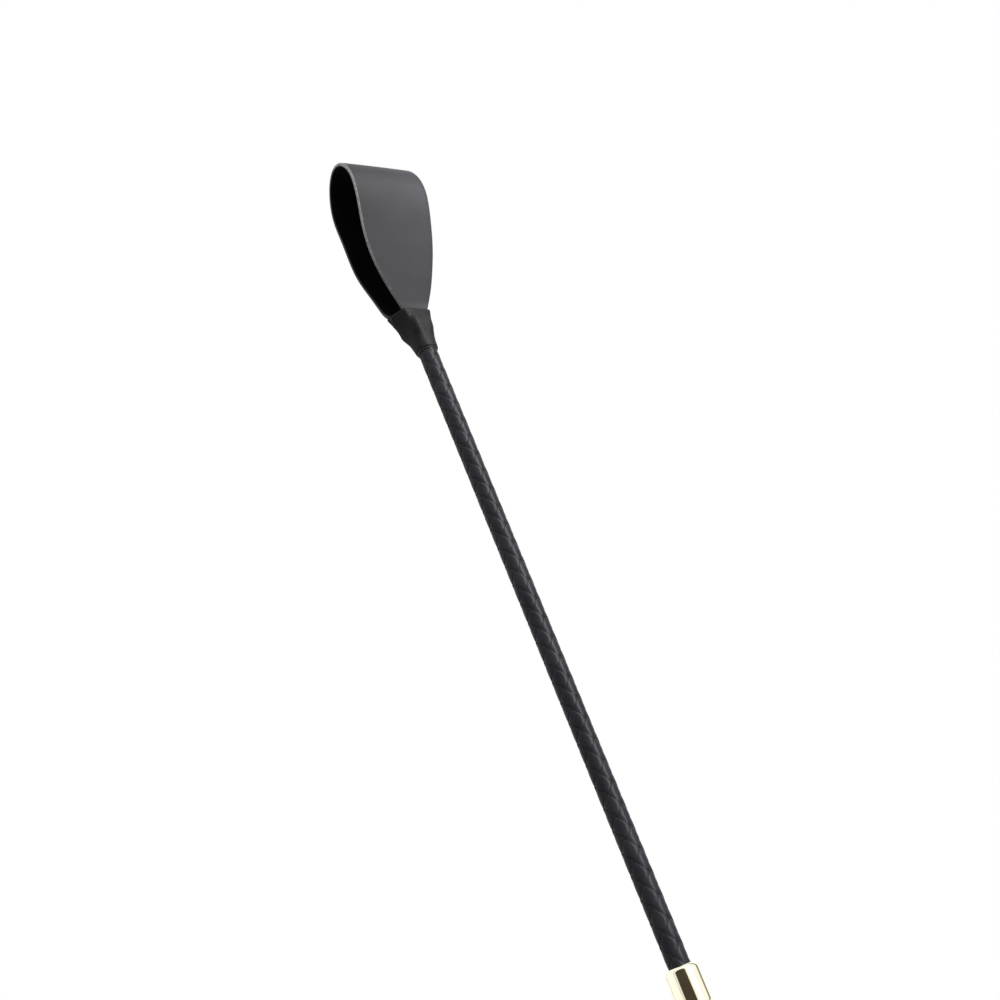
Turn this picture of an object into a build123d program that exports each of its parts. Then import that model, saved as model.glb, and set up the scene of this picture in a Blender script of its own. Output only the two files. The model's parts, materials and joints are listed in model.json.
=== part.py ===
from build123d import *
import os

# Riding crop, lying on its side. X runs from the keeper's fold to the end cap, +Z is up.
# Lengths are in millimetres. Along the crop, x is measured from the ferrule's mouth,
# negative towards the keeper, and each piece is moved to the row's frame when it is written.

# ---- driving dimensions ----
SHAFT_D = 8.0          # over the braid
ROD_D = 4.6            # fibreglass rod
UNDERLAY_D = 5.8       # over the cotton underlay
NECK_X = -300.5        # where the binding meets the keeper
KEEPER_LEN = 79.7      # neck to the fold, on the leather's middle line
KEEPER_W = 37.6        # widest place
LEATHER_T = 1.8        # keeper leather
FERRULE_D = 13.0
FERRULE_LEN = 16.0
GRIP_LEN = 118.0
CAP_D = 17.0
CAP_LEN = 14.0

# ---- dimensions that follow ----
SHAFT_R = SHAFT_D / 2
ROD_R = ROD_D / 2
UNDERLAY_R = UNDERLAY_D / 2
AXIS_H = CAP_D / 2               # the end cap rests on the ground
GRIP_X = FERRULE_LEN
COLLAR_X = GRIP_X + GRIP_LEN
COLLAR_LEN = 2.0
CAP_X = COLLAR_X + COLLAR_LEN
END_X = CAP_X + CAP_LEN
ROD_START_X = NECK_X + 2.5
ROD_END_X = 110.0                # inside the handle core
BRAID_IN_FERRULE = 8.0

# ---- keeper and its neck ----
HINGE_X = NECK_X - 3.0           # line across which the keeper flexes
LOOP_GAP = 1.3                   # from the hinge line to the loop
TAIL_GAP = 1.4                   # from the hinge line to the fixed tails
NECK_H = 2.5                     # half the distance between the plies at the neck
FOLD_Z = 8.7                     # height of the fold above the shaft's axis
UPPER_NECK_W = 6.0               # half widths of the strip at the neck
LOWER_NECK_W = 10.8
FOLD_W = 17.7                    # half width at the fold
BRAID_END_X = NECK_X + 5.5       # the braid stops short of the neck
BINDING_END_X = NECK_X + 20.5
TAIL_T = 0.6                     # the tails are pared thin over the shaft
TAIL_CLEARANCE = 0.05
THREAD_T = 0.5
WRAP_T = 0.4
WHIPPING_T = 0.7
WHIPPING_LEN = 2.3
LOWER_WHIPPING_X = 3.6
LOWER_WHIPPING_END_X = 7.2
END_RING_LEN = 1.5
END_RING_T = 0.8

# ---- handle ----
MOUTH_LEN = 2.6                  # the ferrule's narrow mouth, which fits the shaft
MOUTH_CLEARANCE = 0.1
MOUTH_ROUND = 1.9
BEAD_LEN = 1.8                   # raised bead at the ferrule's handle end
BEAD_RISE = 0.5
BEAD_ROUND = 0.45
SPIGOT_X = 9.0                   # handle core's spigot, inside the ferrule
SPIGOT_R = 5.2
CORE_END_R = 6.0
PADDING_T = 0.8
GRIP_T = 1.2
STUD_R = 2.0
STUD_IN_CORE = 18.0
STUD_IN_CAP = 9.0
WASHER_T = 0.8
STITCH_COUNT = 30
STITCH_LEN = 2.6
STITCH_R = 0.3
STITCH_CLEARANCE = 0.05
COLLAR_ROUND = 0.6
CAP_ROUND = 1.2


def turned(outline):
    """A solid of revolution about the shaft's axis, from (x, radius) points."""
    face = Plane.XZ * make_face(Polyline(*outline, close=True))
    return revolve(face, Axis.X)


def ring(x0, x1, r_in, r_out):
    return turned([(x0, r_in), (x1, r_in), (x1, r_out), (x0, r_out)])


def circles_at(solid, x, radius):
    """The circular edges of a turned solid at one place and radius."""
    found = solid.edges().filter_by(GeomType.CIRCLE)
    return [e for e in found if abs(e.arc_center.X - x) < 0.01 and abs(e.radius - radius) < 0.01]


# ---- keeper ----
def upper_line():
    """Middle line of the upper ply, from the neck to the fold, in the X-Z plane."""
    points = [(0, NECK_H), (20, 7.1), (44, 15.1), (69, 19.2), (KEEPER_LEN, FOLD_Z)]
    return ply_line(points, (-1, 0.3), (0, -1))


def lower_line():
    """Middle line of the lower ply, from the fold back to the neck."""
    points = [(KEEPER_LEN, FOLD_Z), (69, -1.8), (44, -4.6), (22, -7.4), (8, -6.2), (0, -NECK_H)]
    return ply_line(points, (0, -1), (1, 1))


def ply_line(points, start, end):
    return Spline(*[(NECK_X - out, z) for out, z in points], tangents=[start, end])


def ply_section(line, stations=24):
    """A strip of leather, LEATHER_T thick, centred on the line."""
    edges = []
    for side in (1, -1):
        edge = []
        for i in range(stations + 1):
            u = i / stations
            along = line % u
            edge.append((line @ u) + Vector(-along.Y, along.X) * (side * LEATHER_T / 2))
        edges.append(edge)
    one, other = edges
    rim = [Spline(*one), Line(one[-1], other[-1]), Spline(*other), Line(one[0], other[0])]
    return Plane.XZ * make_face(Wire(rim))


def plan(neck_w):
    """The strip's outline seen from above: narrow at the neck, widest near the fold."""
    half = [(0, neck_w), (14, 12.0), (30, 16.7), (54, KEEPER_W / 2), (KEEPER_LEN + 3, FOLD_W)]
    side = [(NECK_X - out, w) for out, w in half]
    mirror = [(x, -w) for x, w in side]
    rim = [Spline(*side), Line(side[-1], mirror[-1]), Spline(*mirror), Line(side[0], mirror[0])]
    return make_face(Wire(rim))


def ply(line, neck_w):
    strip = extrude(ply_section(line), KEEPER_W, both=True)
    return strip & extrude(plan(neck_w), KEEPER_LEN, both=True)


def keeper_loop():
    loop = ply(upper_line(), UPPER_NECK_W) + ply(lower_line(), LOWER_NECK_W)
    size = 2 * KEEPER_LEN
    neck_side = HINGE_X - LOOP_GAP
    return loop & (Pos(neck_side - size / 2, 0, 0) * Box(size, size, size))


def tail(side, reach, half_widths):
    """A fixed tail of the keeper strip, pared thin over the shaft; side is +1 above, -1 below.

    It reaches so far from the neck into the binding. Its half widths are at its start, where
    the braid ends, and at its tip."""
    start_x = HINGE_X + TAIL_GAP
    tip_x = NECK_X + reach
    inner = NECK_H - LEATHER_T / 2
    bed = SHAFT_R + TAIL_CLEARANCE
    under = [(start_x, inner), (BRAID_END_X, bed), (tip_x, bed)]
    over = [(tip_x, bed + TAIL_T), (BRAID_END_X, bed + TAIL_T), (start_x, inner + LEATHER_T)]
    section = Plane.XZ * make_face(Polyline(*[(x, z * side) for x, z in under + over], close=True))
    right = list(zip((start_x, BRAID_END_X, tip_x), half_widths))
    left = [(x, -w) for x, w in reversed(right)]
    outline = make_face(Polyline(*right, *left, close=True))
    return extrude(section, KEEPER_W, both=True) & extrude(outline, KEEPER_W, both=True)


def keeper_tail_upper():
    return tail(1, 10.5, (5.0, 2.6, 1.4))


def keeper_tail_lower():
    return tail(-1, 12.0, (9.4, 5.0, 1.6))


# ---- binding at the keeper's neck ----
# Each station: distance from the neck, half widths above and below, heights above and below,
# corner radius.
BINDING_STATIONS = [
    (-0.7, 6.8, 12.0, 4.7, 5.4, 2.2),
    (8.0, 4.8, 8.3, 6.1, 6.4, 3.2),
    (15.0, 4.95, 5.8, 4.95, 5.6, 4.7),
    (20.5, 4.92, 4.92, 4.92, 4.92, 4.8),
]


def binding_body(inset):
    """The binding's outer form, drawn in by an inset."""
    sections = []
    for out, w_up, w_down, h_up, h_down, corner in BINDING_STATIONS:
        top, bottom = h_up - inset, inset - h_down
        up, down = w_up - inset, w_down - inset
        face = make_face(Polyline((-down, bottom), (down, bottom), (up, top), (-up, top), close=True))
        face = fillet(face.vertices(), corner - inset)
        across = Plane((NECK_X + out, 0, 0), x_dir=(0, 1, 0), z_dir=(1, 0, 0))
        sections.append(across * face)
    return loft(sections, ruled=True)


def binding_thread():
    body = binding_body(WRAP_T)
    hollow = binding_body(WRAP_T + THREAD_T)
    return body - hollow - ring(HINGE_X, GRIP_X, 0, SHAFT_R)


def binding_wrap():
    return binding_body(0) - binding_body(WRAP_T)


def binding_end_ring():
    end_x = BINDING_END_X + END_RING_LEN
    outer = SHAFT_R + END_RING_T
    solid = ring(BINDING_END_X, end_x, SHAFT_R, outer)
    return fillet(circles_at(solid, end_x, outer), END_RING_T / 2)


# ---- shaft ----
def core_rod():
    return ring(ROD_START_X, ROD_END_X, 0, ROD_R)


def underlay_sleeve():
    return ring(BRAID_END_X, BRAID_IN_FERRULE, ROD_R, UNDERLAY_R)


def braid_cover():
    return ring(BRAID_END_X, BRAID_IN_FERRULE, UNDERLAY_R, SHAFT_R)


def upper_braid_whipping():
    return ring(BRAID_END_X - WHIPPING_LEN, BRAID_END_X, ROD_R, ROD_R + WHIPPING_T)


def lower_braid_whipping():
    return ring(LOWER_WHIPPING_X, LOWER_WHIPPING_END_X, SHAFT_R, SHAFT_R + WHIPPING_T)


# ---- handle ----
def ferrule():
    mouth_r = SHAFT_R + MOUTH_CLEARANCE
    outer = FERRULE_D / 2
    bead_r = outer + BEAD_RISE
    bead_x = FERRULE_LEN - BEAD_LEN
    body = turned([
        (0, mouth_r), (MOUTH_LEN, mouth_r), (MOUTH_LEN, SPIGOT_R), (FERRULE_LEN, SPIGOT_R),
        (FERRULE_LEN, bead_r), (bead_x, bead_r), (bead_x, outer), (0, outer),
    ])
    body = fillet(circles_at(body, 0, outer), MOUTH_ROUND)
    return fillet(circles_at(body, bead_x, bead_r) + circles_at(body, FERRULE_LEN, bead_r), BEAD_ROUND)


def core_radius(x):
    """The handle core widens evenly from the ferrule to the cap."""
    return SPIGOT_R + (CORE_END_R - SPIGOT_R) * (x - GRIP_X) / GRIP_LEN


def layer(x0, x1, under, over):
    """A tapered sleeve that follows the handle core, between two offsets from it."""
    r0, r1 = core_radius(x0), core_radius(x1)
    return turned([(x0, r0 + under), (x1, r1 + under), (x1, r1 + over), (x0, r0 + over)])


def handle_core():
    core = turned([
        (SPIGOT_X, 0), (CAP_X - WASHER_T, 0), (CAP_X - WASHER_T, CORE_END_R), (COLLAR_X, CORE_END_R),
        (GRIP_X, SPIGOT_R), (SPIGOT_X, SPIGOT_R),
    ])
    bore = ring(SPIGOT_X, ROD_END_X, 0, ROD_R)
    stud_hole = ring(CAP_X - STUD_IN_CORE, CAP_X, 0, STUD_R)
    return core - bore - stud_hole


def grip_padding():
    return layer(GRIP_X, COLLAR_X, 0, PADDING_T)


def grip_leather():
    body = layer(GRIP_X, COLLAR_X, PADDING_T, PADDING_T + GRIP_T)
    ends = circles_at(body, GRIP_X, core_radius(GRIP_X) + PADDING_T + GRIP_T)
    ends += circles_at(body, COLLAR_X, core_radius(COLLAR_X) + PADDING_T + GRIP_T)
    return fillet(ends, 0.5)


def grip_seam_thread():
    """Stitches in a row along the grip's side, a hair clear of the leather."""
    stitches = []
    pitch = GRIP_LEN / STITCH_COUNT
    for i in range(STITCH_COUNT):
        x = GRIP_X + (i + 0.5) * pitch
        y = core_radius(x) + PADDING_T + GRIP_T + STITCH_R + STITCH_CLEARANCE
        stitches.append(Pos(x, y, 0) * Rot(0, 90, 0) * Cylinder(STITCH_R, STITCH_LEN))
    return Compound(children=stitches)


def pommel_collar():
    radius = CAP_D / 2 - 0.3
    return fillet_rim(ring(COLLAR_X, CAP_X, CORE_END_R, radius), radius, COLLAR_ROUND)


def fillet_rim(body, radius, size):
    """Rounds both outer edges of a ring of the given radius."""
    box = body.bounding_box()
    return fillet(circles_at(body, box.min.X, radius) + circles_at(body, box.max.X, radius), size)


def end_cap():
    body = ring(CAP_X, END_X, 0, CAP_D / 2) - ring(CAP_X, CAP_X + STUD_IN_CAP, 0, STUD_R)
    return fillet_rim(body, CAP_D / 2, CAP_ROUND)


def cap_stud():
    return ring(CAP_X - STUD_IN_CORE, CAP_X + STUD_IN_CAP, 0, STUD_R)


def cap_washer():
    return ring(CAP_X - WASHER_T, CAP_X, STUD_R, CORE_END_R)


PIECES = [
    keeper_loop, keeper_tail_upper, keeper_tail_lower, binding_thread, binding_wrap, binding_end_ring,
    core_rod, underlay_sleeve, braid_cover, upper_braid_whipping, lower_braid_whipping,
    ferrule, handle_core, grip_padding, grip_leather, grip_seam_thread,
    pommel_collar, end_cap, cap_stud, cap_washer,
]


def main():
    os.makedirs("parts", exist_ok=True)
    solids = {make.__name__: make() for make in PIECES}
    fold_x = solids["keeper_loop"].bounding_box().min.X
    middle = (fold_x + END_X) / 2
    print("length", round(END_X - fold_x, 2), "middle", round(middle, 3))
    for name, solid in solids.items():
        export_step(Pos(-middle, 0, AXIS_H) * solid, f"parts/{name}.step")


main()
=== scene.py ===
import json
import math

import bmesh
import bpy
import numpy as np
from mathutils import Matrix, Vector


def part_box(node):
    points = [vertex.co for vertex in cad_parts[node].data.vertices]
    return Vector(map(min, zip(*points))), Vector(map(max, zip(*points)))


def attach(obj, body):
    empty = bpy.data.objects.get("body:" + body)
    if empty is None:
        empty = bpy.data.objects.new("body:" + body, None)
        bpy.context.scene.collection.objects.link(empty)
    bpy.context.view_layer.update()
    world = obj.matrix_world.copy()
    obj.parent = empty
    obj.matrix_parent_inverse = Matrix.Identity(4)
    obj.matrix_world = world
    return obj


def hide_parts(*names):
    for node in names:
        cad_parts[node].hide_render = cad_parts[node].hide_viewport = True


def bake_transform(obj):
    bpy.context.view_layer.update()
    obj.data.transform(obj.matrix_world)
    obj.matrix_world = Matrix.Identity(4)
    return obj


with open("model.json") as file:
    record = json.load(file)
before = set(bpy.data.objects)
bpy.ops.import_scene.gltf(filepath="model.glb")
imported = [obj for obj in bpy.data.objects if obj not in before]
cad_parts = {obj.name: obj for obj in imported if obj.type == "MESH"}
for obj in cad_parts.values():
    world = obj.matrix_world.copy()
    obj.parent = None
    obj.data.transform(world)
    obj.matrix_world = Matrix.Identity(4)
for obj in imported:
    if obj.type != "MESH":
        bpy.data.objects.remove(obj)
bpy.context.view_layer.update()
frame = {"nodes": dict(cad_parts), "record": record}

# ---------- places, read from the frame, in metres ----------
MM = 0.001


def span(node, axis):
    """A CAD node's lowest and highest coordinate along one axis."""
    low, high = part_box(node)
    return low[axis], high[axis]


AXIS_Z = sum(span("core_rod", 2)) / 2
MOUTH_X, FERRULE_END_X = span("ferrule", 0)
BRAID_X0, BRAID_X1 = span("braid_cover", 0)
SHAFT_R = (span("braid_cover", 2)[1] - span("braid_cover", 2)[0]) / 2
BINDING_X0, BINDING_X1 = span("binding_wrap", 0)
NECK_X = BINDING_X0 + 0.7 * MM
GRIP_X0, GRIP_X1 = span("grip_leather", 0)
COLLAR_X = span("pommel_collar", 0)[0]
CAP_X0, CAP_X1 = span("end_cap", 0)


# ---------- shape helpers ----------
def curve_through(points, start, end, count):
    """A clamped cubic spline through 2-D points, sampled evenly: positions and unit tangents."""
    p = np.array(points, float)
    chord = np.r_[0, np.cumsum(np.linalg.norm(np.diff(p, axis=0), axis=1))]
    h = np.diff(chord)
    n = len(p)
    system, right = np.zeros((n, n)), np.zeros((n, 2))
    system[0, 0] = system[-1, -1] = 1
    right[0], right[-1] = Vector(start).normalized(), Vector(end).normalized()
    for i in range(1, n - 1):
        system[i, i - 1:i + 2] = h[i], 2 * (h[i - 1] + h[i]), h[i - 1]
        right[i] = 3 * (h[i] * (p[i] - p[i - 1]) / h[i - 1] + h[i - 1] * (p[i + 1] - p[i]) / h[i])
    slope = np.linalg.solve(system, right)
    fine = np.linspace(0, chord[-1], 40 * n)
    places = hermite(chord, p, slope, fine)
    length = np.r_[0, np.cumsum(np.linalg.norm(np.diff(places, axis=0), axis=1))]
    at = np.interp(np.linspace(0, length[-1], count), length, fine)
    places = hermite(chord, p, slope, at)
    tangents = np.gradient(places, axis=0)
    tangents /= np.linalg.norm(tangents, axis=1)[:, None]
    return places, tangents


def hermite(knots, values, slopes, at):
    """Cubic interpolation at the given places between rows of values with known slopes."""
    i = np.clip(np.searchsorted(knots, at, side="right") - 1, 0, len(knots) - 2)
    step = (knots[i + 1] - knots[i])[:, None]
    t = (at - knots[i])[:, None] / step
    return (
        values[i] * (1 + 2 * t) * (1 - t) ** 2 + slopes[i] * step * t * (1 - t) ** 2
        + values[i + 1] * t * t * (3 - 2 * t) + slopes[i + 1] * step * t * t * (t - 1)
    )


def profile(points, x):
    """A smooth value at x through (place, value) points."""
    knots = np.array([p[0] for p in points], float)
    values = np.array([[p[1]] for p in points], float)
    slopes = np.gradient(values[:, 0], knots)[:, None]
    return hermite(knots, values, slopes, np.clip(x, knots[0], knots[-1]))[:, 0]


def grid_faces(rows, cols, wrap_rows=False, wrap_cols=True):
    """Quads over a grid of points numbered row by row."""
    faces = []
    for r in range(rows if wrap_rows else rows - 1):
        for c in range(cols if wrap_cols else cols - 1):
            r2, c2 = (r + 1) % rows, (c + 1) % cols
            faces.append((r * cols + c, r * cols + c2, r2 * cols + c2, r2 * cols + c))
    return faces


def new_piece(name, points, faces, material, smooth=True):
    """A mesh object with one material, linked into the scene."""
    mesh = bpy.data.meshes.new(name)
    mesh.from_pydata([tuple(p) for p in points], [], faces)
    mesh.validate()
    mesh.update()
    if smooth:
        mesh.shade_smooth()
    mesh.materials.append(material)
    piece = bpy.data.objects.new(name, mesh)
    bpy.context.scene.collection.objects.link(piece)
    fix_normals(mesh)
    return piece


def fix_normals(mesh):
    """Turns every face to look outwards."""
    work = bmesh.new()
    work.from_mesh(mesh)
    bmesh.ops.recalc_face_normals(work, faces=work.faces)
    work.to_mesh(mesh)
    work.free()


def tube_mesh(rings):
    """Points and faces of a closed tube: rings of equal length, with a fan cap on each end."""
    rows, cols = rings.shape[:2]
    points = [p for ring in rings for p in ring]
    faces = grid_faces(rows, cols)
    for row, flip in ((0, True), (rows - 1, False)):
        centre = len(points)
        points.append(rings[row].mean(axis=0))
        for c in range(cols):
            a, b = row * cols + c, row * cols + (c + 1) % cols
            faces.append((centre, b, a) if flip else (centre, a, b))
    return points, faces


def about_axis(x, radius, angles):
    """Points on rings about the crop's axis, one ring for each x. Everything is in metres."""
    return np.stack([
        np.broadcast_to(x[:, None], radius.shape),
        radius * np.cos(angles),
        AXIS_Z + radius * np.sin(angles),
    ], axis=-1)


def ring_piece(name, rings, material):
    """A closed solid whose rings run along the outside and back along the inside."""
    faces = grid_faces(len(rings), rings.shape[1], wrap_rows=True)
    return new_piece(name, rings.reshape(-1, 3), faces, material)


def weight(piece, name, values):
    """Stores one number for each vertex, which a material can read."""
    layer = piece.data.attributes.new(name, "FLOAT", "POINT")
    layer.data.foreach_set("value", np.asarray(values, np.float32))


# ---------- material helpers ----------
def node_material(name):
    """A new node material, with its tree and its main shader."""
    material = bpy.data.materials.new(name)
    material.use_nodes = True
    tree = material.node_tree
    shader = tree.nodes["Principled BSDF"]
    return material, tree, shader


def add(tree, kind, **settings):
    """A new node. Each setting is one of its inputs or, failing that, one of its properties."""
    node = tree.nodes.new(kind)
    for key, value in settings.items():
        if key in node.inputs:
            node.inputs[key].default_value = value
        else:
            setattr(node, key, value)
    return node


def object_space(tree, scale=(1, 1, 1)):
    """The piece's own coordinates, in metres, stretched by a scale."""
    place = add(tree, "ShaderNodeTexCoord")
    mapping = add(tree, "ShaderNodeMapping")
    mapping.inputs["Scale"].default_value = scale
    tree.links.new(place.outputs["Object"], mapping.inputs["Vector"])
    return mapping.outputs["Vector"]


def noise(tree, vector, scale, detail=3.0, roughness=0.5):
    """Noise, 0 to 1. A scale of 1000 has features of about 1 mm."""
    node = add(tree, "ShaderNodeTexNoise", Scale=scale, Detail=detail, Roughness=roughness)
    tree.links.new(vector, node.inputs["Vector"])
    return node.outputs["Fac"]


def ramp(tree, value, stops):
    """A colour ramp; stops are (place, colour)."""
    node = add(tree, "ShaderNodeValToRGB")
    elements = node.color_ramp.elements
    while len(elements) < len(stops):
        elements.new(0.5)
    for element, (place, colour) in zip(elements, stops):
        element.position = place
        element.color = (*colour, 1)
    tree.links.new(value, node.inputs["Fac"])
    return node.outputs["Color"]


def grey(value):
    return (value, value, value)


def mix_colour(tree, factor, one, other):
    """Goes from one colour to the other as the factor goes from 0 to 1."""
    node = add(tree, "ShaderNodeMix", data_type="RGBA")
    for socket, value in zip(("A", "B"), (one, other)):
        target = [s for s in node.inputs if s.name == socket and s.type == "RGBA"][0]
        if isinstance(value, tuple):
            target.default_value = (*value, 1)
        else:
            tree.links.new(value, target)
    tree.links.new(factor, node.inputs["Factor"])
    return [s for s in node.outputs if s.type == "RGBA"][0]


def bump(tree, shader, height, strength, distance):
    """Tilts the shading by a height. A height of 1 stands for the distance, in metres."""
    node = add(tree, "ShaderNodeBump", Strength=strength, Distance=distance)
    tree.links.new(height, node.inputs["Height"])
    tree.links.new(node.outputs["Normal"], shader.inputs["Normal"])


def arithmetic(tree, operation, one, other):
    """A sum, product or other operation on two values, each a number or a socket."""
    node = add(tree, "ShaderNodeMath", operation=operation)
    for socket, value in zip(node.inputs, (one, other)):
        if isinstance(value, (int, float)):
            socket.default_value = value
        else:
            tree.links.new(value, socket)
    return node.outputs[0]


def colour_and_roughness(tree, shader, tone, rough):
    """Feeds the shader's colour and roughness."""
    tree.links.new(tone, shader.inputs["Base Color"])
    tree.links.new(rough, shader.inputs["Roughness"])


def attribute(tree, name):
    """A number that weight() stored on the piece."""
    node = add(tree, "ShaderNodeAttribute")
    node.attribute_name = name
    return node.outputs["Fac"]


# ---------- materials ----------
def keeper_leather():
    """Smooth drum-dyed leather: fine pores, faint clouds, painted sheen on the grain and a painted
    highlight along the cut edge.
    """
    material, tree, shader = node_material("keeper_leather")
    where = object_space(tree)
    pores = add(tree, "ShaderNodeTexVoronoi", Scale=2600.0)
    tree.links.new(where, pores.inputs["Vector"])
    cloud = noise(tree, where, 38, 4)
    grain = noise(tree, where, 1500, 3)
    worn = attribute(tree, "worn")
    # The paler tone is painted sheen: paler towards the fold and the +Y edge, with a narrow painted glint
    # at the binding.
    base_tone = ramp(tree, cloud, [(0.3, (0.0095, 0.0092, 0.0116)), (0.7, (0.0150, 0.0147, 0.0178))])
    sheen_tone = ramp(tree, cloud, [(0.3, (0.0195, 0.0190, 0.0228)), (0.7, (0.0310, 0.0304, 0.0352))])
    tone = mix_colour(tree, worn, base_tone, sheen_tone)
    # The pale grey of the cut edge is a painted highlight.
    edge = ramp(tree, noise(tree, where, 900, 2), [(0.3, grey(0.15)), (0.75, grey(0.32))])
    tone = mix_colour(tree, attribute(tree, "painted_edge_highlight"), tone, edge)
    rough = ramp(tree, cloud, [(0.25, grey(0.48)), (0.75, grey(0.54))])
    rough = mix_colour(tree, worn, grey(0.62), rough)
    colour_and_roughness(tree, shader, tone, rough)
    shader.inputs["Specular IOR Level"].default_value = 0.15
    half_pores = arithmetic(tree, "MULTIPLY", pores.outputs["Distance"], 0.5)
    height = arithmetic(tree, "ADD", half_pores, grain)
    bump(tree, shader, height, 0.2, 0.04 * MM)
    return material


def flesh_material():
    """The strip's inner side: black, matt and a little fibrous."""
    material, tree, shader = node_material("keeper_flesh")
    fibre = noise(tree, object_space(tree), 1200, 5, 0.7)
    tone = ramp(tree, fibre, [(0.3, (0.0012, 0.0012, 0.0017)), (0.7, (0.0034, 0.0034, 0.0044))])
    tree.links.new(tone, shader.inputs["Base Color"])
    shader.inputs["Roughness"].default_value = 0.95
    shader.inputs["Specular IOR Level"].default_value = 0.06
    bump(tree, shader, fibre, 0.4, 0.08 * MM)
    return material


def lace_material():
    """Flat satin lace with a fine fibrous grain, duller at its edges, with painted shade along them."""
    material, tree, shader = node_material("braid_lace")
    where = object_space(tree)
    fibre = noise(tree, where, 900, 4, 0.65)
    cloud = noise(tree, where, 120, 3)
    edge = attribute(tree, "lace_edge_shade")
    tone = ramp(tree, cloud, [(0.3, (0.012, 0.0117, 0.0147)), (0.7, (0.018, 0.0175, 0.0218))])
    # Painted shade: the lace darkens towards its edges, where the laces meet.
    tone = mix_colour(tree, edge, tone, grey(0.004))
    shader.inputs["Specular IOR Level"].default_value = 0.08
    rough = ramp(tree, fibre, [(0.3, grey(0.29)), (0.7, grey(0.35))])
    rough = mix_colour(tree, edge, rough, grey(0.8))
    colour_and_roughness(tree, shader, tone, rough)
    bump(tree, shader, fibre, 0.1, 0.04 * MM)
    return material


def binding_leather():
    """Thin smooth wrap with a waxy surface."""
    material, tree, shader = node_material("binding_leather")
    where = object_space(tree)
    cloud = noise(tree, where, 160, 4)
    fine = noise(tree, where, 1400, 3)
    tone = ramp(tree, cloud, [(0.3, (0.006, 0.006, 0.0063)), (0.7, (0.010, 0.010, 0.0105))])
    shader.inputs["Specular IOR Level"].default_value = 0.1
    rough = ramp(tree, cloud, [(0.3, grey(0.48)), (0.7, grey(0.60))])
    colour_and_roughness(tree, shader, tone, rough)
    bump(tree, shader, fine, 0.15, 0.05 * MM)
    return material


def thread_material(name, colour, lay):
    """Waxed twisted thread, with painted shade in the grooves of the twist."""
    material, tree, shader = node_material(name)
    where = object_space(tree)
    wave = add(tree, "ShaderNodeTexWave", Scale=lay, Distortion=1.5, Detail=2.0)
    tree.links.new(where, wave.inputs["Vector"])
    # The darker tone in the grooves of the twist is painted shade.
    dark = tuple(c * 0.5 for c in colour)
    tone = ramp(tree, wave.outputs["Fac"], [(0.1, dark), (0.8, colour)])
    tree.links.new(tone, shader.inputs["Base Color"])
    shader.inputs["Roughness"].default_value = 0.5
    bump(tree, shader, wave.outputs["Fac"], 0.4, 0.08 * MM)
    return material


def polished_gold():
    """Pale polished plating with very fine lathe lines and faint handling haze."""
    material, tree, shader = node_material("polished_brass")
    shader.inputs["Metallic"].default_value = 1.0
    lines = noise(tree, object_space(tree, (900, 40, 40)), 2.0, 2)
    cloud = noise(tree, object_space(tree), 140, 3)
    tone = ramp(tree, cloud, [(0.3, (0.95, 0.88, 0.68)), (0.7, (0.98, 0.93, 0.77))])
    rough = ramp(tree, cloud, [(0.3, grey(0.06)), (0.8, grey(0.12))])
    colour_and_roughness(tree, shader, tone, rough)
    bump(tree, shader, lines, 0.04, 0.02 * MM)
    return material


def grip_material():
    """Pebbled glove leather, rubbed a little smoother on the high grain, with painted shade in the hollows
    between the pebbles.
    """
    material, tree, shader = node_material("grip_leather")
    where = object_space(tree)
    cells = add(tree, "ShaderNodeTexVoronoi", Scale=1100.0, Randomness=0.9)
    cells.feature = "SMOOTH_F1"
    tree.links.new(where, cells.inputs["Vector"])
    cloud = noise(tree, where, 60, 4)
    pebble = cells.outputs["Distance"]
    # Painted shade: darker in the hollows between the pebbles, paler on the high grain.
    tone = ramp(tree, pebble, [(0.1, (0.036, 0.035, 0.039)), (0.7, (0.014, 0.014, 0.016))])
    tone = mix_colour(tree, cloud, tone, (0.028, 0.027, 0.030))
    rough = ramp(tree, pebble, [(0.1, grey(0.40)), (0.7, grey(0.62))])
    colour_and_roughness(tree, shader, tone, rough)
    height = arithmetic(tree, "SUBTRACT", noise(tree, where, 2600, 2), pebble)
    bump(tree, shader, height, 0.55, 0.12 * MM)
    return material


def wood_material():
    """Turned beech: grain along the core."""
    material, tree, shader = node_material("core_wood")
    grain = noise(tree, object_space(tree, (1, 12, 12)), 90, 5, 0.6)
    tone = ramp(tree, grain, [(0.3, (0.42, 0.26, 0.13)), (0.7, (0.62, 0.44, 0.26))])
    rough = ramp(tree, grain, [(0.3, grey(0.5)), (0.7, grey(0.65))])
    colour_and_roughness(tree, shader, tone, rough)
    bump(tree, shader, grain, 0.2, 0.1 * MM)
    return material


def plain_textured(name, low, high, scale, rough, metallic=0.0):
    """A hidden piece's finish: two tones, broken up by noise."""
    material, tree, shader = node_material(name)
    mottle = noise(tree, object_space(tree), scale, 4)
    tree.links.new(ramp(tree, mottle, [(0.3, low), (0.7, high)]), shader.inputs["Base Color"])
    shader.inputs["Roughness"].default_value = rough
    shader.inputs["Metallic"].default_value = metallic
    bump(tree, shader, mottle, 0.2, 0.05 * MM)
    return material


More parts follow.
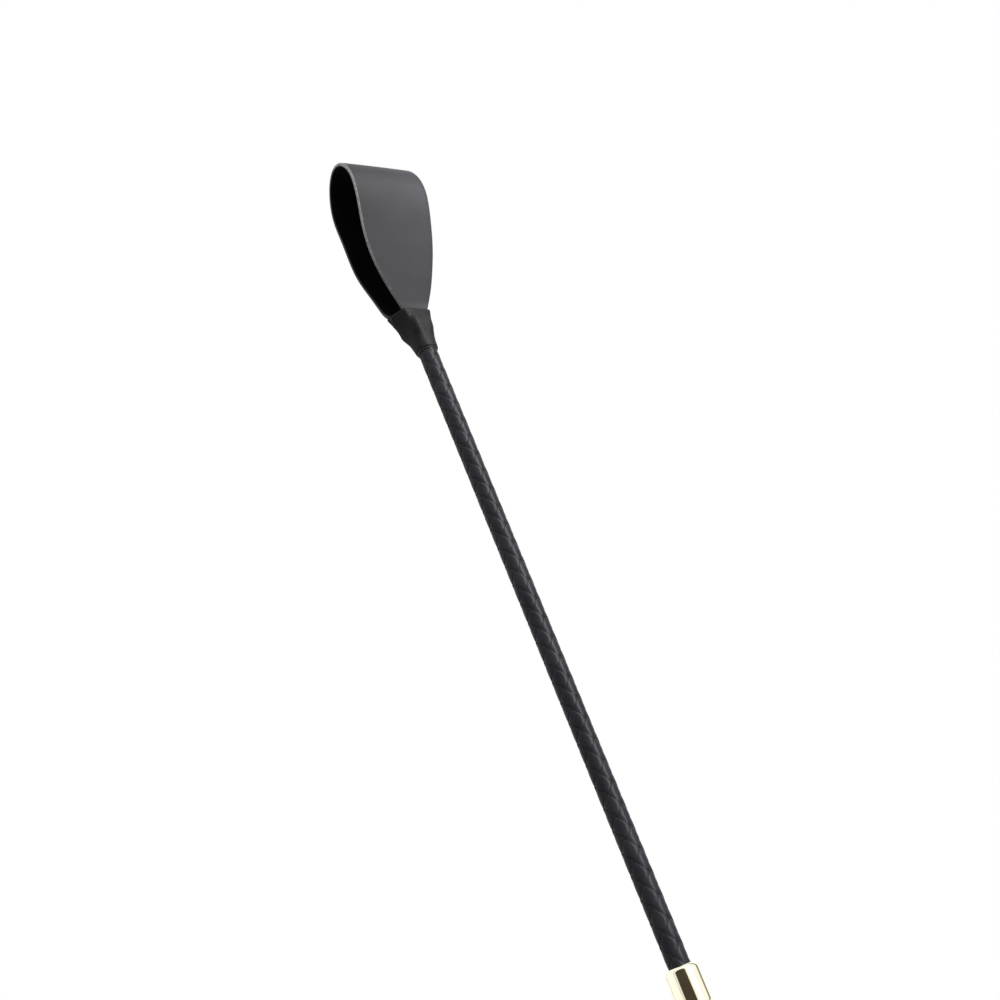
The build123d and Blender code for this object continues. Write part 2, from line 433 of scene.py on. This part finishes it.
LEATHER = keeper_leather()
FLESH = flesh_material()
LACE = lace_material()
WRAP = binding_leather()
THREAD = thread_material("waxed_thread", (0.012, 0.012, 0.013), 900.0)
SEAM_THREAD = thread_material("seam_thread", (0.05, 0.05, 0.055), 1500.0)
GOLD = polished_gold()
GRIP = grip_material()
CAD_FINISHES = {
    "core_wood": wood_material(),
    "waxed_thread": THREAD,
    "fibreglass": plain_textured("fibreglass", (0.55, 0.53, 0.42), (0.70, 0.68, 0.58), 300, 0.3),
    "cotton": plain_textured("cotton", (0.02, 0.02, 0.022), (0.05, 0.05, 0.055), 900, 0.9),
    "felt": plain_textured("felt", (0.03, 0.03, 0.03), (0.08, 0.08, 0.08), 700, 0.95),
    "steel": plain_textured("steel", (0.50, 0.51, 0.53), (0.62, 0.63, 0.65), 400, 0.35, 1.0),
    "fibre_board": plain_textured("fibre_board", (0.20, 0.06, 0.04), (0.32, 0.11, 0.08), 500, 0.7),
    "keeper_leather": LEATHER,
    "binding_leather": WRAP,
    "polished_brass": GOLD,
}


# ---------- keeper ----------
# Everything in this section is in mm until it is placed
LEATHER_T = 1.8
NECK_H = 2.5
FOLD_OUT = 79.7
FOLD_HEIGHT = 8.7
# Side view of the strip's middle line, (distance from the neck, height over the axis)
UPPER_LINE = [(0, NECK_H), (20, 7.1), (44, 15.1), (69, 19.2), (FOLD_OUT, FOLD_HEIGHT)]
LOWER_LINE = [(FOLD_OUT, FOLD_HEIGHT), (69, -1.8), (44, -4.6), (22, -7.4), (8, -6.2), (0, -NECK_H)]
LINE_STEPS = 130
# Half width seen from above, (distance from the neck, half width)
WIDTH_LINE = [(14, 12.0), (30, 16.7), (54, 18.8), (82, 17.7)]
UPPER_NECK_W = 6.0
LOWER_NECK_W = 10.8
TAIL_OUT = -7.0                  # how far the strip goes on inside the binding
TAIL_START = -0.8
TAIL_STEPS = 12
TAIL_RISE = 1.75                 # the tails climb over the end of the shaft
TAIL_SHRINK = 0.62               # share of the half width that a tail has lost at its end
EDGE_ROUND = 0.55                # how far the rounded cut edge stands out
EDGE_CUP = 0.12                  # how far the cut edges curl towards the flesh side


def keeper_line():
    """The strip's middle line from one tail round the fold to the other: x, z, tangent, half width."""
    upper, upper_along = curve_through(UPPER_LINE, (1, 0.3), (0, -1), LINE_STEPS)
    lower, lower_along = curve_through(LOWER_LINE, (0, -1), (-1, 1), LINE_STEPS)
    out = np.r_[upper[:, 0], lower[1:, 0]]
    height = np.r_[upper[:, 1], lower[1:, 1]]
    along = np.r_[upper_along, lower_along[1:]]
    split = len(upper)
    width = np.empty(len(out))
    width[:split] = profile([(0, UPPER_NECK_W)] + WIDTH_LINE, out[:split])
    width[split:] = profile([(0, LOWER_NECK_W)] + WIDTH_LINE, out[split:])
    return out, height, along, width


def add_tails(out, height, along, width):
    """Carries the strip on into the binding at both ends."""
    steps = np.linspace(TAIL_OUT, TAIL_START, TAIL_STEPS)
    reach = steps / TAIL_OUT
    rise = TAIL_RISE * (reach * reach * (3 - 2 * reach))
    shrink = 1 - TAIL_SHRINK * reach ** 1.5
    upper = (steps, NECK_H + rise, width[0] * shrink)
    lower = (steps[::-1], -NECK_H - rise[::-1], width[-1] * shrink[::-1])
    out = np.r_[upper[0], out, lower[0]]
    height = np.r_[upper[1], height, lower[1]]
    width = np.r_[upper[2], width, lower[2]]
    along = np.gradient(np.c_[out, height], axis=0)
    along /= np.linalg.norm(along, axis=1)[:, None]
    return out, height, along, width


def strap_section():
    """The strip's section: (across -1 to 1, height -1 to 1, out past the flat 0 to 1, edge's painted
    highlight).
    """
    flat = np.linspace(-1, 1, 19)
    turn = np.linspace(0, math.pi, 13)[1:-1]
    rows = [(a, 1.0, 0.0, 0.0) for a in flat]
    rows += [(1.0, math.cos(t), math.sin(t), edge_highlight_share(t)) for t in turn]
    rows += [(a, -1.0, 0.0, 0.0) for a in flat[::-1]]
    rows += [(-1.0, -math.cos(t), math.sin(t), edge_highlight_share(math.pi - t)) for t in turn]
    return np.array(rows)


def edge_highlight_share(turn):
    """The cut edge has a painted highlight next to the grain side and painted shade next to the flesh
    side.
    """
    corner_highlight = min(1.0, 1.8 * math.sin(turn))
    fade = min(1.0, max(0.0, (turn / math.pi - 0.45) / 0.35))
    return corner_highlight * (1 - 0.85 * fade * fade * (3 - 2 * fade))


def keeper_rings(out, height, along, width, section):
    """The section carried along the strip's middle line."""
    normal = np.c_[-along[:, 1], along[:, 0]]
    side = np.sign(section[:, 0])
    lift = section[:, 1] * LEATHER_T / 2 - EDGE_CUP * np.abs(section[:, 0]) ** 2.5
    rings = []
    for i in range(len(out)):
        across = section[:, 0] * (width[i] - EDGE_ROUND) + side * section[:, 2] * EDGE_ROUND
        x = NECK_X - (out[i] + normal[i, 0] * lift) * MM
        z = AXIS_Z + (height[i] + normal[i, 1] * lift) * MM
        rings.append(np.c_[x, across * MM, z])
    return np.array(rings)


def edge_highlight_along(out, height):
    """How strong the cut edge's painted highlight is: more towards the fold on the upper leaf, fading
    below the fold, where the edge is kept dark as painted shade.
    """
    highlight_strength = np.clip((height - FOLD_HEIGHT + 9) / 10, 0.15, 1)
    upper = len(out) // 2
    highlight_strength[:upper] = np.clip(out[:upper] / 45, 0.35, 1)
    return highlight_strength


def painted_sheen_along(out):
    """How strong the painted sheen on the grain is: from 16 to 50 mm out it grows, and a narrow band at
    the binding has a painted glint.
    """
    return np.clip((out - 16) / 34, 0, 1) + 0.9 * np.exp(-((out - 2.6) / 1.8) ** 2)


def show_flesh_side(piece, section):
    """Gives the faces on the strip's inner side their own material."""
    piece.data.materials.append(FLESH)
    flesh = section[:, 1] < -0.6
    for face in piece.data.polygons:
        face.material_index = int(all(flesh[v % len(section)] for v in face.vertices))


def keeper_piece():
    """The whole strip in one piece, from one tail in the binding round the fold to the other."""
    out, height, along, width = add_tails(*keeper_line())
    section = strap_section()
    points, faces = tube_mesh(keeper_rings(out, height, along, width, section))
    piece = new_piece("keeper_strip", points, faces, LEATHER)
    show_flesh_side(piece, section)
    caps = (0, 0)                # the two end caps' middle points
    # The cut edge's weight is a painted highlight, strong on the upper leaf and weak on the lower leaf as
    # painted shade.
    weight(piece, "painted_edge_highlight", np.r_[np.outer(edge_highlight_along(out, height), section[:, 3]).ravel(), caps])
    # Painted sheen: it grows towards the fold and towards the +Y edge, with a painted glint band at the
    # binding.
    plus_y_sheen_share = 0.65 + 0.35 * section[:, 0]
    weight(piece, "worn", np.r_[np.outer(painted_sheen_along(out), plus_y_sheen_share).ravel(), caps])
    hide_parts("keeper_loop", "keeper_tail_upper", "keeper_tail_lower")
    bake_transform(piece)


# ---------- binding ----------
# Distance from the neck, half widths above and below, heights above and below, corner radius, mm
BINDING_STATIONS = [
    (-0.7, 6.8, 13.0, 4.7, 5.4, 2.0),
    (8.0, 4.8, 8.8, 6.1, 6.4, 3.2),
    (15.0, 4.95, 6.2, 4.95, 5.8, 4.7),
    (20.5, 4.92, 5.1, 4.92, 5.0, 4.8),
]
WIDEST = 14.0                    # mm, more than any of these reaches from the axis
WRAP_PITCH = 6.2                 # mm along the shaft for one turn of the wrap
WRAP_T = 0.55                    # mm
LAP_STEP = 0.09                  # mm, step where one turn lies over the next
LAP_SHARE = 0.08                 # share of a turn that the step takes
END_FALL = 0.35                  # mm, how far the ends fall away as they round off
END_REACH = 0.5                  # mm along the shaft that the rounding takes
HALVINGS = 24                    # of the search for the outline


def station_radius(station, angles):
    """Distance from the axis to a rounded trapezoid, in each direction, by bisection."""
    _, up_w, down_w, up_h, down_h, corner = station
    corners = np.array([(-down_w, -down_h), (down_w, -down_h), (up_w, up_h), (-up_w, up_h)])
    edge = np.roll(corners, -1, axis=0) - corners
    outward = np.c_[edge[:, 1], -edge[:, 0]] / np.linalg.norm(edge, axis=1)[:, None]
    offset = (outward * corners).sum(axis=1) - corner
    core = [np.linalg.solve(outward[[i - 1, i]], offset[[i - 1, i]]) for i in range(4)]
    low, high = np.zeros_like(angles), np.full_like(angles, WIDEST)
    for _ in range(HALVINGS):
        middle = (low + high) / 2
        p = np.c_[np.cos(angles), np.sin(angles)] * middle[:, None]
        inside = ((p @ outward.T) - offset).max(axis=1) <= 0
        near = np.full(len(p), 1e9)
        for i in range(4):
            c, d = core[i], core[(i + 1) % 4]
            t = np.clip(((p - c) @ (d - c)) / ((d - c) @ (d - c) + 1e-12), 0, 1)
            near = np.minimum(near, np.linalg.norm(p - (c + t[:, None] * (d - c)), axis=1))
        within = inside | (near <= corner)
        low, high = np.where(within, middle, low), np.where(within, high, middle)
    return low


def steady_slopes(places, values):
    """Slopes for hermite() that never overshoot between two rows of values."""
    secant = np.diff(values, axis=0) / np.diff(places)[:, None]
    before, after = secant[:-1], secant[1:]
    both = before + after
    inner = np.where(before * after > 0, 2 * before * after / np.where(both == 0, 1, both), 0)
    return np.concatenate([secant[:1], inner, secant[-1:]])


def binding_radius(out, angles):
    """Outside of the wrap, mm: the stations joined smoothly, with the lapped turns and rounded ends."""
    stations = np.array([station_radius(s, angles) for s in BINDING_STATIONS])
    places = np.array([s[0] for s in BINDING_STATIONS])
    radius = hermite(places, stations, steady_slopes(places, stations), out)
    turn = (out[:, None] / WRAP_PITCH + angles[None, :] / (2 * math.pi)) % 1.0
    lap = np.where(turn < LAP_SHARE, turn / LAP_SHARE, 1 - (turn - LAP_SHARE) / (1 - LAP_SHARE))
    end = np.minimum(out - out[0], out[-1] - out)[:, None]
    return radius + LAP_STEP * (lap - 1) - END_FALL * np.clip(1 - end / END_REACH, 0, 1) ** 2


def binding_piece():
    """The wrap, a sleeve with the lapped turns on its outside."""
    cols, rows = 120, 90
    angles = np.linspace(0, 2 * math.pi, cols, endpoint=False)
    out = np.linspace(BINDING_STATIONS[0][0], BINDING_STATIONS[-1][0], rows)
    radius = binding_radius(out, angles)
    x = NECK_X + out * MM
    outer = about_axis(x, radius * MM, angles)
    inner = about_axis(x, (radius - WRAP_T) * MM, angles)
    piece = ring_piece("binding_cover", np.concatenate([outer, inner[::-1]]), WRAP)
    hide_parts("binding_wrap")
    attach(piece, "root")


THREAD_SIDES = 10                # a thread's section
COIL_STEPS = 64                  # rings of a coil for each turn


def thread_coil(name, x0, turns, radius, thread_r, node):
    """Turns of round thread wound side by side. Both ends sink out of sight."""
    pitch, sink_depth, sink_turns = 2.05 * thread_r, 1.6 * thread_r, 0.12
    sides = np.linspace(0, 2 * math.pi, THREAD_SIDES, endpoint=False)
    rings = []
    for turn in np.linspace(0, turns, int(turns * COIL_STEPS)):
        angle = turn * 2 * math.pi
        sink = sink_depth * max(0.0, 1 - min(turn, turns - turn) / sink_turns)
        r = radius + (thread_r - sink) + thread_r * np.cos(sides)
        x = x0 + turn * pitch + thread_r * np.sin(sides)
        rings.append(np.c_[x, r * math.cos(angle), AXIS_Z + r * math.sin(angle)])
    points, faces = tube_mesh(np.array(rings))
    piece = new_piece(name, points, faces, THREAD)
    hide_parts(node)
    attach(piece, "root")


def binding_end_turns():
    """Two turns of thread on the shaft, where the wrap ends."""
    x0, radius = BINDING_X1 + 0.1 * MM, SHAFT_R + 0.24 * MM
    thread_coil("binding_end_turns", x0, 2.0, radius, 0.17 * MM, "binding_end_ring")


# ---------- braid ----------
BRAID_PITCH = 8.92 * MM          # from one crossing to the next along the shaft
LACE_SETS = 3                    # laces each way
LACE_T = 0.45 * MM
LACE_SWING = 0.16 * MM           # rise and fall of a lace as it goes over and under
LACE_SNAP = 2.0                  # how sharply it goes from one to the other
LACE_CROWN = 0.035 * MM          # a lace's middle stands over its edges
LACE_PROUD = 0.26 * MM           # the laces' peaks stand this far over the CAD sleeve
LACE_WIDTH = 0.95                # share of a crossing that a lace fills
LACE_SHADE_FROM = 0.8             # share of the half width where painted shade begins towards a lace's edge
LACE_ROWS = 22                   # rings of a lace for each crossing
BRAID_TURN = math.radians(79.5)  # where the first crossing lies around the shaft, from +Y
BRAID_START = -3.8 * MM          # and along it, from the ferrule's mouth


def lace_piece(number, way):
    """One lace. way is +1 where it turns with the shaft's +X, -1 against."""
    rows = int((BRAID_X1 - BRAID_X0) / BRAID_PITCH * LACE_ROWS)
    x = np.linspace(BRAID_X0, BRAID_X1, rows)
    top = np.linspace(-0.5, 0.5, 13) * LACE_WIDTH
    across = np.r_[top, top[::-1]]
    side = np.r_[np.ones(len(top)), -np.ones(len(top))]
    share = np.abs(across) / (0.5 * LACE_WIDTH)
    own = number + across[None, :]
    along = 2 * (x[:, None] - MOUTH_X - BRAID_START) / BRAID_PITCH - own
    angle = BRAID_TURN + math.pi / LACE_SETS * way * (along - own)
    swing = way * np.tanh(LACE_SNAP * np.cos(math.pi * (along + number))) / math.tanh(LACE_SNAP)
    half_t = LACE_T / 2 * np.sqrt(np.clip(1 - share ** 6, 0, 1))
    middle = SHAFT_R - LACE_SWING - LACE_T / 2 + LACE_PROUD
    radius = middle + LACE_SWING * swing + side * half_t - LACE_CROWN * share ** 2.5
    points, faces = tube_mesh(about_axis(x, radius, angle))
    name = f"braid_lace_{'with' if way > 0 else 'against'}_{number + 1}"
    piece = new_piece(name, points, faces, LACE)
    # Painted shade along the lace's edges.
    dark = np.clip((share - LACE_SHADE_FROM) / (1 - LACE_SHADE_FROM), 0, 1)
    caps = (1, 1)                # the two end caps' middle points
    weight(piece, "lace_edge_shade", np.r_[np.tile(dark, rows), caps])
    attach(piece, "root")
    return piece


def braid():
    """Three laces each way, which together stand for the CAD sleeve."""
    laces = [lace_piece(i, way) for way in (1, -1) for i in range(LACE_SETS)]
    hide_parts("braid_cover")


# ---------- turned metal ----------
def arc(centre, radius, start, end, count=9):
    """Points of an arc in (x, radius) space, angles in degrees."""
    turn = np.radians(np.linspace(start, end, count))
    return [(centre[0] + radius * math.cos(a), centre[1] + radius * math.sin(a)) for a in turn]


def turned(name, outline, node):
    """A lathe-turned ring from a closed (x, radius) outline in mm, x from the ferrule's mouth."""
    cols = 144
    angles = np.linspace(0, 2 * math.pi, cols, endpoint=False)
    x, radius = np.array(outline).T * MM
    rings = about_axis(MOUTH_X + x, np.repeat(radius[:, None], cols, axis=1), angles)
    piece = ring_piece(name, rings, GOLD)
    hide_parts(node)
    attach(piece, "root")


def ferrule():
    """A tube with a rounded mouth that narrows to the shaft, and a bead at the grip."""
    mouth_r, bore_r, body_r, bead_r = 4.1, 5.2, 6.5, 7.0
    mouth_depth = 2.6
    inner_round, shoulder, bead_round = 0.5, 1.9, 0.55
    end = (FERRULE_END_X - MOUTH_X) / MM
    outline = [(mouth_depth, mouth_r), (inner_round, mouth_r)]
    outline += arc((inner_round, mouth_r + inner_round), inner_round, 270, 180, 5)
    outline += arc((shoulder, body_r - shoulder), shoulder, 180, 90, 17)
    outline += [(end - 2.6, body_r), (end - 1.9, body_r - 0.08)]
    outline += arc((end - 1.3, bead_r - bead_round), bead_round, 180, 90)
    outline += arc((end - bead_round, bead_r - bead_round), bead_round, 90, 0)
    outline += [(end, bore_r), (mouth_depth, bore_r)]
    turned("ferrule_turned", outline, "ferrule")


def collar():
    """A plain ring with rounded edges, between the grip and the cap."""
    bore_r, outer_r, edge = 6.0, 8.2, 0.6
    x0, x1 = (COLLAR_X - MOUTH_X) / MM, (CAP_X0 - MOUTH_X) / MM
    outline = [(x0, bore_r)] + arc((x0 + edge, outer_r - edge), edge, 180, 90)
    outline += arc((x1 - edge, outer_r - edge), edge, 90, 0) + [(x1, bore_r)]
    turned("collar_turned", outline, "pommel_collar")


def end_cap():
    """A round cap with two grooves, a raised ring around its dished face and a blind bore for the stud."""
    outer_r, bore_r = 8.5, 2.0
    axis_r = 0.02                # a ring can't close on the axis itself
    inner_edge, outer_edge, bore_depth = 0.9, 1.2, 9
    groove_places, groove_r = (3.2, 4.6), 0.35
    face_ring_r, dish_r = 5.6, 5.2
    x0, x1 = (CAP_X0 - MOUTH_X) / MM, (CAP_X1 - MOUTH_X) / MM
    outline = [(x0, bore_r), (x0, outer_r - inner_edge)]
    outline += arc((x0 + inner_edge, outer_r - inner_edge), inner_edge, 180, 90)
    for place in groove_places:
        outline += arc((x0 + place, outer_r + 0.1), groove_r, 200, 340, 7)
    outline += arc((x1 - outer_edge, outer_r - outer_edge), outer_edge, 90, 0)
    outline += arc((x1 - 0.12, face_ring_r), 0.25, 60, -60, 5)
    outline += [(x1 - 0.35, dish_r), (x1 - 0.2, 2.5), (x1 - 0.15, axis_r)]
    outline += [(x0 + bore_depth, axis_r), (x0 + bore_depth, bore_r)]
    turned("end_cap_turned", outline, "end_cap")


# ---------- grip ----------
SEAM_ANGLE = 0.0                 # the seam faces +Y
STITCHES = 30
GRIP_START_R, GRIP_END_R = 7.2, 8.0          # mm, outside of the leather
GRIP_T = 1.2                     # mm
GRIP_ROLL = 0.9                  # mm, radius of the rolled ends
STITCH_R = 0.34                  # mm


def grip_radius(x):
    """Outside of the grip leather, mm, at a place along the handle."""
    return GRIP_START_R + (GRIP_END_R - GRIP_START_R) * (x - GRIP_X0) / (GRIP_X1 - GRIP_X0)


def grip_relief(x, angles):
    """What the seam, the stitches' puckers and the rolled ends add to the grip's radius, mm."""
    away = np.abs((angles - SEAM_ANGLE + math.pi) % (2 * math.pi) - math.pi)[None, :]
    phase = ((x - GRIP_X0) / (GRIP_X1 - GRIP_X0) * STITCHES)[:, None]
    seam = 0.30 * np.exp(-(away / 0.035) ** 2)
    pucker = 0.16 * (0.5 - 0.5 * np.cos(2 * math.pi * phase)) * np.exp(-(away / 0.22) ** 2)
    welt = 0.12 * np.exp(-((away - 0.2) / 0.09) ** 2)
    end = np.minimum(x - GRIP_X0, GRIP_X1 - x)[:, None] / MM
    inward = 1 - np.clip(end / GRIP_ROLL, 0, 1)
    rolled = GRIP_ROLL * (1 - np.sqrt(np.clip(1 - inward ** 2, 0, 1)))
    return welt - seam - pucker - rolled


def grip():
    """The leather sleeve of the handle."""
    rows, cols = 300, 160
    x = np.linspace(GRIP_X0, GRIP_X1, rows)
    angles = np.linspace(0, 2 * math.pi, cols, endpoint=False) + math.pi / cols
    relief = grip_relief(x, angles)
    plain = np.broadcast_to(grip_radius(x)[:, None], relief.shape)
    outer = about_axis(x, (plain + relief) * MM, angles)
    inner = about_axis(x, (plain - GRIP_T) * MM, angles)
    piece = ring_piece("grip_cover", np.concatenate([outer, inner[::-1]]), GRIP)
    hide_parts("grip_leather")
    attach(piece, "root")


def stitch_rings(centre, pitch):
    """One stitch: a bent thread that dips into the leather at both ends and leans a little."""
    sides = np.linspace(0, 2 * math.pi, THREAD_SIDES, endpoint=False)
    rings = []
    for t in np.linspace(-1, 1, 13):
        x = centre + t * pitch * 0.44
        dip, lean = 0.42 * t * t, 0.25 * t
        size = STITCH_R * math.sqrt(max(0.02, 1 - t ** 8))
        y = grip_radius(x) - 0.22 - dip + size * np.cos(sides)
        rings.append(np.c_[np.full(len(sides), x), y * MM, AXIS_Z + (lean + size * np.sin(sides)) * MM])
    return np.array(rings)


def grip_seam():
    """The row of stitches along the grip."""
    points, faces = [], []
    pitch = (GRIP_X1 - GRIP_X0) / STITCHES
    for i in range(STITCHES):
        made, local = tube_mesh(stitch_rings(GRIP_X0 + (i + 0.5) * pitch, pitch))
        faces += [tuple(index + len(points) for index in face) for face in local]
        points += list(made)
    piece = new_piece("seam_stitches", points, faces, SEAM_THREAD)
    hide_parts("grip_seam_thread")
    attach(piece, "root")


# ---------- stage, light and camera ----------
CAMERA_AZIMUTH = 38.96
CAMERA_ELEVATION = 43.09
CAMERA_ROLL = 38.56
CAMERA_DISTANCE = 0.6134
CAMERA_LENS = 53.28
AIM_FROM_MOUTH = -0.2007         # the camera looks at this place along the shaft, from the ferrule
AIM_ASIDE = 0.00486              # and this far to its own right of it
FLOOR_TONE = 0.5
FLOOR_DROP = 60 * MM             # under the resting crop
FLOOR_RADIUS = 9
TENT_LIGHT = 1.05
DIM_LIGHT = (0.062, 0.050, 0.037)
DIM_AZIMUTH = 0.0
DIM_ELEVATION = 41.5
DIM_EDGE = 0.80                  # cosine of the angle from the gap's middle to where it begins
STRIP_TOP = 0.28                 # sine of the dim strip's height
STRIP_DIMMING = 0.8              # 1 would make the strip as dim as the gap


def floor_material():
    """Matt and pale to every ray but the camera's, which see it evenly white."""
    material = bpy.data.materials.new("studio_floor")
    material.use_nodes = True
    tree = material.node_tree
    tree.nodes.remove(tree.nodes["Principled BSDF"])
    matt = add(tree, "ShaderNodeBsdfDiffuse")
    tones = [(0.3, grey(FLOOR_TONE)), (0.7, grey(FLOOR_TONE + 0.03))]
    tone = ramp(tree, noise(tree, object_space(tree), 3, 2), tones)
    tree.links.new(tone, matt.inputs["Color"])
    white = add(tree, "ShaderNodeEmission", Strength=1.0)
    mix = add(tree, "ShaderNodeMixShader")
    tree.links.new(add(tree, "ShaderNodeLightPath").outputs["Is Camera Ray"], mix.inputs[0])
    tree.links.new(matt.outputs[0], mix.inputs[1])
    tree.links.new(white.outputs[0], mix.inputs[2])
    tree.links.new(mix.outputs[0], tree.nodes["Material Output"].inputs["Surface"])
    return material


def floor():
    """A wide round floor, well under the crop."""
    angles = np.linspace(0, 2 * math.pi, 96, endpoint=False)
    rim = [(FLOOR_RADIUS * math.cos(a), FLOOR_RADIUS * math.sin(a), -FLOOR_DROP) for a in angles]
    piece = new_piece("studio_floor", rim, [tuple(range(len(rim)))], floor_material(), smooth=False)


def direction(azimuth, elevation):
    """Unit vector towards a place in degrees: azimuth 0 is -Y and 90 is +X."""
    a, e = math.radians(azimuth), math.radians(elevation)
    return Vector((math.sin(a) * math.cos(e), -math.cos(a) * math.cos(e), math.sin(e)))


def sky():
    """A white tent with a round dim gap on the -Y side and a dim strip low on the +Y side."""
    world = bpy.data.worlds.new("studio_sky")
    bpy.context.scene.world = world
    world.use_nodes = True
    tree = world.node_tree
    place = add(tree, "ShaderNodeTexCoord").outputs["Generated"]
    toward = add(tree, "ShaderNodeVectorMath", operation="DOT_PRODUCT")
    tree.links.new(place, toward.inputs[0])
    toward.inputs[1].default_value = direction(DIM_AZIMUTH, DIM_ELEVATION)
    gap = ramp(tree, toward.outputs["Value"], [(DIM_EDGE, grey(0)), (DIM_EDGE + 0.03, grey(1))])
    parts = add(tree, "ShaderNodeSeparateXYZ")
    tree.links.new(place, parts.inputs[0])
    far = ramp(tree, parts.outputs["Y"], [(0.25, grey(0)), (0.45, grey(STRIP_DIMMING))])
    low = ramp(tree, parts.outputs["Z"], [(STRIP_TOP, grey(1)), (STRIP_TOP + 0.08, grey(0))])
    dim = arithmetic(tree, "MAXIMUM", gap, arithmetic(tree, "MULTIPLY", far, low))
    light = mix_colour(tree, dim, grey(TENT_LIGHT), DIM_LIGHT)
    camera_ray = add(tree, "ShaderNodeLightPath").outputs["Is Camera Ray"]
    seen = mix_colour(tree, camera_ray, light, grey(1.0))
    background = tree.nodes["Background"]
    tree.links.new(seen, background.inputs["Color"])
    background.inputs["Strength"].default_value = 1.0


def soft_light(name, azimuth, elevation, distance, length, width, power):
    """A softbox aimed at the crop's middle, its long side along the crop."""
    back = direction(azimuth, elevation)
    across = back.cross(Vector((1, 0, 0))).normalized()
    data = bpy.data.lights.new(name, "AREA")
    data.shape = "RECTANGLE"
    data.energy, data.size, data.size_y = power, length, width
    lamp = bpy.data.objects.new(name, data)
    bpy.context.scene.collection.objects.link(lamp)
    turn = Matrix((across.cross(back), across, back)).transposed().to_4x4()
    lamp.matrix_world = Matrix.Translation(back * distance) @ turn


def camera():
    """The photograph's view: the crop runs from the upper left to the lower right."""
    back = direction(CAMERA_AZIMUTH, CAMERA_ELEVATION)
    level = Vector((0, 0, 1)).cross(back).normalized()
    upright = back.cross(level)
    roll = math.radians(CAMERA_ROLL)
    right = level * math.cos(roll) + upright * math.sin(roll)
    up = upright * math.cos(roll) - level * math.sin(roll)
    aim = Vector((MOUTH_X + AIM_FROM_MOUTH, 0, AXIS_Z)) + right * AIM_ASIDE
    data = bpy.data.cameras.new("camera")
    data.lens, data.sensor_width = CAMERA_LENS, 36
    eye = bpy.data.objects.new("camera", data)
    bpy.context.scene.collection.objects.link(eye)
    turn = Matrix((right, up, back)).transposed().to_4x4()
    eye.matrix_world = Matrix.Translation(aim + back * CAMERA_DISTANCE) @ turn
    data.clip_start, data.clip_end = 0.01, 50
    bpy.context.scene.camera = eye


def finish_cad_nodes():
    """Gives each CAD node that stays its own finish."""
    slots = {s["node"]: s["material_slot"] for s in frame["record"]["subparts"]}
    for name, node in frame["nodes"].items():
        if node.hide_render:
            continue
        node.data.materials.clear()
        node.data.materials.append(CAD_FINISHES[slots[name]])


camera()
floor()
sky()
soft_light("key", azimuth=240, elevation=60, distance=1.5, length=1.5, width=0.5, power=51)
keeper_piece()
binding_piece()
binding_end_turns()
braid()
ferrule()
collar()
end_cap()
grip()
grip_seam()
finish_cad_nodes()
bpy.context.scene.view_settings.view_transform = "Standard"
